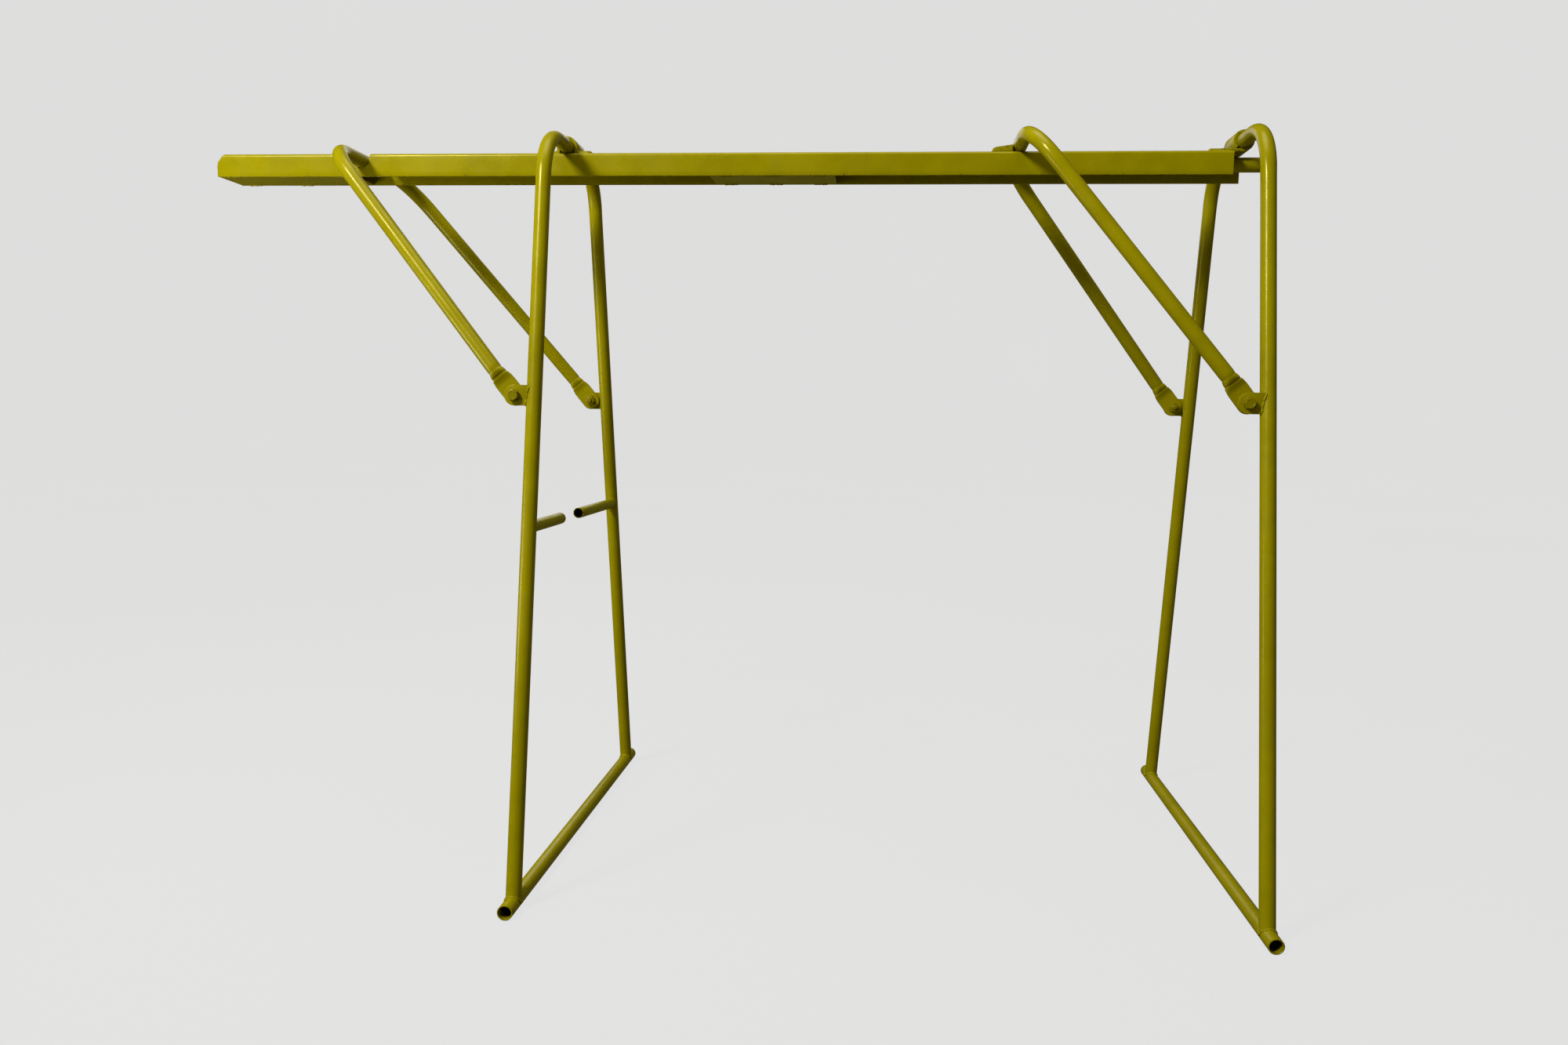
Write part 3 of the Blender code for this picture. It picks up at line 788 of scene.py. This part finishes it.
def beam_rub(x, y, z):
    """Wear on the beam: its long edges, its ends, and the seat of the left brace's loop."""
    offset, _, loop_z = LOOPS["left"]
    seat = math.hypot(x - PIVOTS["left"].x + offset, z - loop_z) - TUBE_RADIUS
    in_seat = max(0.0, 1 - seat / 0.003)
    at_foot = 0.7 * max(0.0, 1 - (z - BEAM_LOW.z) / 0.0012)
    to_corner = max(BEAM_HIGH.y - abs(y), BEAM_TOP - z)
    at_corner = 0.45 * max(0.0, 1 - to_corner / BEAM_CORNER)
    left, right = beam_ends(y, z)
    at_end = 0.8 * max(0.0, 1 - min(x - left, right - x) / 0.0012)
    return min(1.0, max(in_seat, at_foot, at_corner, at_end))


def make_beam():
    line = channel_line(0.0, 9) + channel_line(BEAM_WALL, 6)[::-1]
    shares = [0.0, 0.0004] + list(np.linspace(0.0, 1.0, 121))[1:-1] + [0.9996, 1.0]
    rings = []
    for share in shares:
        ring_points = []
        for y, z in line:
            left, right = beam_ends(y, z)
            x = left + (right - left) * share
            out, up = beam_wave(x, y, z)
            ring_points.append(Vector((x, y + out, z + up)))
        rings.append(ring_points)
    beam = new_object("beam", *ring_mesh(rings))
    cut(beam, notch_cutter())
    soften(beam, 0.0005)
    set_attribute(beam, "rub", [beam_rub(*v.co) for v in beam.data.vertices])
    finish_piece(beam, "beam", "paint", "beam_channel")


def notch_cutter():
    """The slot where the left brace drops in; its +X wall leans with the brace's lift."""
    offset, _, z = LOOPS["left"]
    radius = TUBE_RADIUS + NOTCH_CLEARANCE
    height = BEAM_TOP - z + NOTCH_ABOVE_BEAM
    outline = arc((0, 0), radius, -math.pi, 0, 25)
    outline += [(radius + NOTCH_LEAN * height, height), (-radius, height)]
    x = PIVOTS["left"].x - offset
    return prism("notch", [(x + a, z + b) for a, b in outline], 2 * BEAM_LOW.y, 2 * BEAM_HIGH.y)


def make_beam_parts():
    for node, name in (("left_batten", "left_closing_strip"), ("middle_batten", "middle_closing_strip")):
        low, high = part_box(node)
        count = max(2, round((high.x - low.x) / STITCH_PITCH))
        first, last = low.x + 0.012, high.x - 0.034
        stitches = []
        for y in (low.y - 0.0002, high.y + 0.0002):
            for i in range(count):
                start = first + (last - first) * i / (count - 1)
                ends = [Vector((x, y, low.z + WELD_LIFT)) for x in (start, start + STITCH_LENGTH)]
                stitches.append(ends)
        finish_piece(rounded_block(name, low, high, 0.0006), "beam", "paint", node)
        lay_welds(name, "beam", stitches, FINE_BEAD_RADIUS, 20)
    low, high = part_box("beam_spigot")
    z = (low.z + high.z) / 2
    spigot = open_tube("end_spigot", (low.x, 0, z), (high.x, 0, z), TUBE_RADIUS, SPIGOT_WALL)
    finish_piece(spigot, "beam", "paint", "beam_spigot")
    web = BEAM_TOP - BEAM_WALL
    lines = []
    for y in (-0.0062, 0.0062):
        for start, end in ((0.61, 0.645), (0.655, 0.69)):
            lines.append((Vector((start, y, web - 0.0016)), Vector((end, y, web - 0.0016))))
    lay_welds("spigot", "beam", lines, BEAD_RADIUS, 50)


# Lugs, braces and fasteners


def lug_plane(side, sign):
    low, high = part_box(f"{side}_{'front' if sign < 0 else 'rear'}_lug")
    return (low.y + high.y) / 2, high.y - low.y


def make_lug(side, place, sign):
    y, thickness = lug_plane(side, sign)
    bolt = Vector((BOLTS[side].x, y, BOLTS[side].z))
    to_axis = PIVOTS[side].x - bolt.x
    outline = arc((0, 0), LUG_RADIUS, math.pi / 2, 3 * math.pi / 2, 29)
    outline += [(to_axis - 0.0088, -LUG_RADIUS), (to_axis - 0.0055, LUG_RADIUS)]
    lug = plate(f"{side}_{place}_leg_lug", [outline, circle(HOLE_RADIUS)], thickness, bolt, 0.0005)
    finish_piece(lug, f"{side}_leg", "paint", f"{side}_{place}_lug")
    face = y + sign * thickness / 2
    line = []
    for z in np.linspace(-LUG_RADIUS + 0.001, LUG_RADIUS - 0.001, 24):
        off = min(abs(abs(face) - leg_y(bolt.z + z)), TUBE_RADIUS * 0.97)
        x = PIVOTS[side].x - math.sqrt(TUBE_RADIUS**2 - off**2) - WELD_LIFT
        line.append(Vector((x, face, bolt.z + z)))
    finish_piece(bead(f"{side}_{place}_lug_weld", line, 0.0017, seed=60 + sign), f"{side}_leg", "paint")
    for z, name in ((-LUG_RADIUS, "low"), (LUG_RADIUS, "high")):
        off = min(abs(abs(y) - leg_y(bolt.z + z)), TUBE_RADIUS * 0.95)
        x = PIVOTS[side].x - math.sqrt(TUBE_RADIUS**2 - off**2) - WELD_LIFT
        ends = [Vector((x, y + s * thickness * 0.45, bolt.z + z)) for s in (-1, 1)]
        weld = bead(f"{side}_{place}_lug_{name}_weld", ends, 0.0014, seed=70 + sign)
        finish_piece(weld, f"{side}_leg", "paint")


def pressed(reach):
    """How far the tube is pressed flat at this distance from the bolt: 1 is flat, and 0 is round."""
    share = min(1.0, max(0.0, (ROUND_FROM - reach) / (ROUND_FROM - PRESSED_TO)))
    return share * share * (3 - 2 * share)


def crimp(reach):
    """The press leaves two shallow grooves across the tube, in metres."""
    return sum(CRIMP_DEPTH * math.exp(-(((reach - at) / CRIMP_WIDTH) ** 2)) for at in CRIMP_PLACES)


def make_brace(side):
    """A hairpin: two arms with flat drilled ends, joined by a run that crosses the beam."""
    offset, half_width, loop_z = LOOPS[side]
    bolt = Vector((BOLTS[side].x, -leg_y(BOLTS[side].z), BOLTS[side].z))
    loop = Vector((PIVOTS[side].x - offset, -half_width, loop_z))
    along = Vector((loop.x - bolt.x, 0, loop.z - bolt.z)).normalized()
    across = along.cross(Vector((0, 1, 0)))
    tip = 0.0126
    fine = [bolt + along * reach for reach in np.arange(-tip, 0.040, 0.0009)]
    kink = bolt + along * ROUND_FROM
    corners = [fine[-1] + along * 0.0005, kink, loop, Vector((loop.x, 0, loop.z))]
    arm = rounded_path(corners, [KINK_BEND, BRACE_BEND])
    half = fine + arm[:-1]
    path = half + [Vector((p.x, -p.y, p.z)) for p in reversed(half)]
    lines = tangents(path)
    outer, inner = [], []
    for i, (point, line) in enumerate(zip(path, lines)):
        reach = (point - bolt).dot(along)
        on_arm = abs(point.y) > half_width
        share = pressed(reach) if on_arm else 0.0
        groove = crimp(reach) if on_arm else 0.0
        bend = bend_share(path, i) if reach > 0.1 else 0.0
        side_way = across.cross(line)
        thin = TUBE_RADIUS + share * (FLAT_HALF_THICKNESS - TUBE_RADIUS) - groove * 0.9
        wide = TUBE_RADIUS + share * (FLAT_HALF_WIDTH - TUBE_RADIUS) - groove
        if on_arm and reach < 0:
            wide = math.sqrt(max(0.003**2, FLAT_HALF_WIDTH**2 - reach**2))
        thin *= 1 - 0.05 * bend
        wide *= 1 + 0.02 * bend
        power = 2 + 3.5 * share
        wall = TUBE_WALL + share * 0.0006
        outer.append(ring(point, side_way, across, thin, wide, power))
        inner.append(ring(point, side_way, across, max(0.0003, thin - wall), wide - wall, power))
    for end, nudge in ((0, -1), (-1, 1)):
        centre = sum(outer[end], Vector()) / SIDES
        rim = [centre + (p - centre) * (1 - LIP / max(1e-4, (p - centre).length)) for p in outer[end]]
        rim = [p + lines[end] * nudge * LIP for p in rim]
        outer.insert(0 if end == 0 else len(outer), rim)
    rings = outer + inner[::-1]
    brace = new_object(f"{side}_brace_hairpin", *ring_mesh(rings, closed=True))
    bare = [0.0] * len(outer) + [1.0] * len(inner)
    set_attribute(brace, "bare", np.repeat(bare, SIDES))
    for sign in (-1, 1):
        y = bolt.y * -sign
        start, end = (bolt.x, y - 0.02, bolt.z), (bolt.x, y + 0.02, bolt.z)
        cut(brace, rod(f"drill_{sign + 1}", start, end, HOLE_RADIUS))
    beam_half = BEAM_HIGH.y
    rub = []
    for v in brace.data.vertices:
        on_beam = abs(v.co.y) < beam_half + 0.004 and v.co.x < bolt.x - 0.2
        rub.append(0.75 if on_beam and v.co.z < loop.z - 0.3 * TUBE_RADIUS else 0.0)
    set_attribute(brace, "rub", rub)
    finish_piece(brace, f"{side}_brace", "paint", f"{side}_brace_tube")


def hex_reach(angle):
    return APOTHEM / math.cos((angle % (math.pi / 3)) - math.pi / 6)


def turned_ring(radius, z, sides=HEX_SIDES):
    """A ring about the local Z axis; the radius and height may be functions of the angle."""
    points = []
    for i in range(sides):
        angle = 2 * math.pi * i / sides
        r = radius(angle) if callable(radius) else radius
        h = z(angle) if callable(z) else z
        points.append(Vector((r * math.cos(angle), r * math.sin(angle), h)))
    return points


def chamfer(angle):
    return max(0.0, hex_reach(angle) - CHAMFER_FROM) * CHAMFER_SLOPE


def thread_depth(angle, z):
    """A screw thread as a dip below the shank's radius."""
    phase = (z / THREAD_PITCH - angle / (2 * math.pi)) % 1.0
    return 0.00055 * min(1.0, max(0.0, 1.15 * abs(2 * phase - 1) - 0.06))


def bolt_rings(length, threaded):
    rings = [turned_ring(SHANK_RADIUS - 0.0011, -length)]
    z = -length + 0.0005
    while z < -length + threaded:
        taper = max(0.0, 0.0008 - (z + length)) * 0.9
        rings.append(turned_ring(lambda a, z=z, t=taper: SHANK_RADIUS - thread_depth(a, z) - t, z))
        z += THREAD_PITCH / 8
    rings.append(turned_ring(SHANK_RADIUS, z + 0.0004))
    rings.append(turned_ring(SHANK_RADIUS, 0.0))
    rings.append(turned_ring(CHAMFER_FROM, 0.0))
    rings.append(turned_ring(CHAMFER_FROM, 0.0003))
    rings.append(turned_ring(lambda a: hex_reach(a) - 0.0002, 0.0003))
    rings.append(turned_ring(hex_reach, 0.0006))
    rings.append(turned_ring(hex_reach, lambda a: HEAD_HEIGHT - chamfer(a)))
    rings.append(turned_ring(CHAMFER_FROM, HEAD_HEIGHT))
    rings.append(turned_ring(CHAMFER_FROM * 0.80, HEAD_HEIGHT))
    rings.append(turned_ring(CHAMFER_FROM * 0.74, HEAD_HEIGHT - 0.00025))
    return rings


def nut_rings(height):
    mouth = SHANK_RADIUS + 0.0006
    bore = SHANK_RADIUS + 0.00002
    lower = [turned_ring(mouth, 0.0), turned_ring(CHAMFER_FROM, 0.0), turned_ring(hex_reach, chamfer)]
    upper = [turned_ring(hex_reach, lambda a: height - chamfer(a)), turned_ring(CHAMFER_FROM, height)]
    thread = [turned_ring(mouth, height), turned_ring(bore, height - 0.0007), turned_ring(bore, 0.0007)]
    return lower + upper + thread


def washer_rings(thickness):
    edge = 0.0003
    outer = [(WASHER_RADIUS - edge, 0), (WASHER_RADIUS, edge), (WASHER_RADIUS, thickness - edge)]
    outer += [(WASHER_RADIUS - edge, thickness), (HOLE_RADIUS, thickness), (HOLE_RADIUS, 0)]
    return [turned_ring(r, z) for r, z in outer]


def placed(rings, base, outward, turn):
    """Rings about local Z, stood on the base point with +Z along outward."""
    matrix = Matrix.Translation(base) @ outward.to_track_quat("Z", "X").to_matrix().to_4x4()
    matrix = matrix @ Matrix.Rotation(turn, 4, "Z")
    return [[matrix @ p for p in r] for r in rings]


def make_fasteners(side, place, sign):
    axis = BOLTS[side]
    outward = Vector((0, sign, 0))

    def faces(node):
        low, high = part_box(f"{side}_{place}_{node}")
        near, far = sorted((low.y * sign, high.y * sign))
        return Vector((axis.x, near * sign, axis.z)), far - near

    draw = random.Random(f"{side}{place}")
    tip, whole = faces("bolt")
    head_base = tip + outward * (whole - HEAD_HEIGHT)
    length = whole - HEAD_HEIGHT
    pieces = [("bolt", bolt_rings(length, 0.014), head_base, False)]
    for node, maker in (("bolt_washer", washer_rings), ("nut_washer", washer_rings), ("nut", nut_rings)):
        base, thickness = faces(node)
        pieces.append((node, maker(thickness), base, True))
    for node, rings, base, closed in pieces:
        points, quads = ring_mesh(placed(rings, base, outward, draw.uniform(0, math.pi)), closed)
        obj = new_object(f"{side}_{place}_pivot_{node}", points, quads, smooth_angle=32)
        finish_piece(obj, f"{side}_leg", "fasteners", f"{side}_{place}_{node}")


# Studio: a pale floor that curves up all round, soft lamps, and the camera at the photo's angle


def stage_material(name, colour, glow):
    """Pale paper with a faint tooth; its glow evens out the lamps' fall-off."""
    m = Shader(name)
    tint = m.mix(m.noise(0.7, 3.0), tuple(0.985 * c for c in colour), colour)
    m.join(tint, m.surface.inputs["Base Color"])
    m.join(tint, m.surface.inputs["Emission Color"])
    m.surface.inputs["Emission Strength"].default_value = glow
    m.surface.inputs["Roughness"].default_value = 0.9
    m.surface.inputs["Specular IOR Level"].default_value = 0.1
    m.join(m.bump(m.noise(260.0, 3.0), 0.10, 0.0004), m.surface.inputs["Normal"])
    return m.material


def make_floor():
    """One sheet of paper: a wide floor that curves up all round."""
    flat, bend, top = 9.0, 5.0, 14.0
    profile = [(r, 0.0) for r in (0.0, 2.0, 5.0, flat)]
    profile += arc((flat, bend), bend, -math.pi / 2 + 0.08, 0.0, 14)
    profile.append((flat + bend, top))
    sides = 72
    points, faces = [(0, 0, 0)], []
    for r, z in profile[1:]:
        points += [(x, y, z) for x, y in arc((0, 0), r, 0, 2 * math.pi, sides + 1)[:-1]]
    faces += [(0, 1 + i, 1 + (i + 1) % sides) for i in range(sides)]
    for k in range(len(profile) - 2):
        a, b = 1 + k * sides, 1 + (k + 1) * sides
        faces += [(a + i, b + i, b + (i + 1) % sides, a + (i + 1) % sides) for i in range(sides)]
    mesh = bpy.data.meshes.new("studio_floor")
    mesh.from_pydata(points, [], faces)
    mesh.shade_smooth()
    mesh.materials.append(stage_material("pale_paper", FLOOR_COLOUR, FLOOR_GLOW))
    floor = bpy.data.objects.new("studio_floor", mesh)
    bpy.context.scene.collection.objects.link(floor)
    floor.visible_diffuse = False
    floor.visible_glossy = False


def lamp(name, place, aim, size, power, colour=(1.0, 0.99, 0.965)):
    light = bpy.data.lights.new(name, "AREA")
    light.shape = "DISK"
    light.size = size
    light.energy = power
    light.color = colour
    obj = bpy.data.objects.new(name, light)
    bpy.context.scene.collection.objects.link(obj)
    obj.location = place
    obj.rotation_euler = (Vector(aim) - Vector(place)).to_track_quat("-Z", "Y").to_euler()


def make_camera():
    """The camera fitted to the object's straight edges; its yaw, dip and roll are in radians."""
    yaw, dip, roll = 0.0727, 0.1311, 0.0126
    ahead = Vector((-math.sin(yaw) * math.cos(dip), math.cos(yaw) * math.cos(dip), -math.sin(dip)))
    level = Vector((math.cos(yaw), math.sin(yaw), 0))
    level_up = level.cross(ahead)
    right = level * math.cos(roll) + level_up * math.sin(roll)
    up = right.cross(ahead)
    data = bpy.data.cameras.new("camera")
    data.sensor_width = 36.0
    data.lens = 26.82
    data.shift_x = -0.0115
    data.shift_y = 0.0335
    data.clip_start = 0.05
    camera = bpy.data.objects.new("camera", data)
    bpy.context.scene.collection.objects.link(camera)
    turn = Matrix((right, up, -ahead)).transposed()
    camera.matrix_world = Matrix.Translation((0.232, -1.7243, 0.6265)) @ turn.to_4x4()
    bpy.context.scene.camera = camera


def make_studio():
    world = bpy.data.worlds.new("studio")
    world.use_nodes = True
    world.node_tree.nodes["Background"].inputs["Color"].default_value = (0.88, 0.80, 0.16, 1.0)
    world.node_tree.nodes["Background"].inputs["Strength"].default_value = 0.13
    bpy.context.scene.world = world
    bpy.context.scene.view_settings.view_transform = "Standard"
    lamp("key", (-1.6, -2.1, 2.6), (-0.3, 0.0, 0.75), 0.7, 84.0)
    lamp("top", (0.0, -0.3, 3.2), (0.0, 0.0, 0.8), 1.8, 24.0)
    lamp("back", (-0.8, 3.0, 2.0), (0.0, 0.0, 0.7), 2.0, 10.0)
    lamp("low", (-1.25, -0.5, 0.5), (-0.62, 0.0, 0.96), 0.5, 4.0)
    make_floor()
    make_camera()


make_beam()
make_beam_parts()
make_loop_stop()
make_saddle_strap()
make_rolled_strap()
for side_name in ("left", "right"):
    make_leg_frame(side_name)
    make_foot_bar(side_name)
    make_brace(side_name)
    for place_name, way in (("front", -1), ("rear", 1)):
        make_lug(side_name, place_name, way)
        make_fasteners(side_name, place_name, way)
make_stub("front", -1)
make_stub("rear", 1)
make_studio()
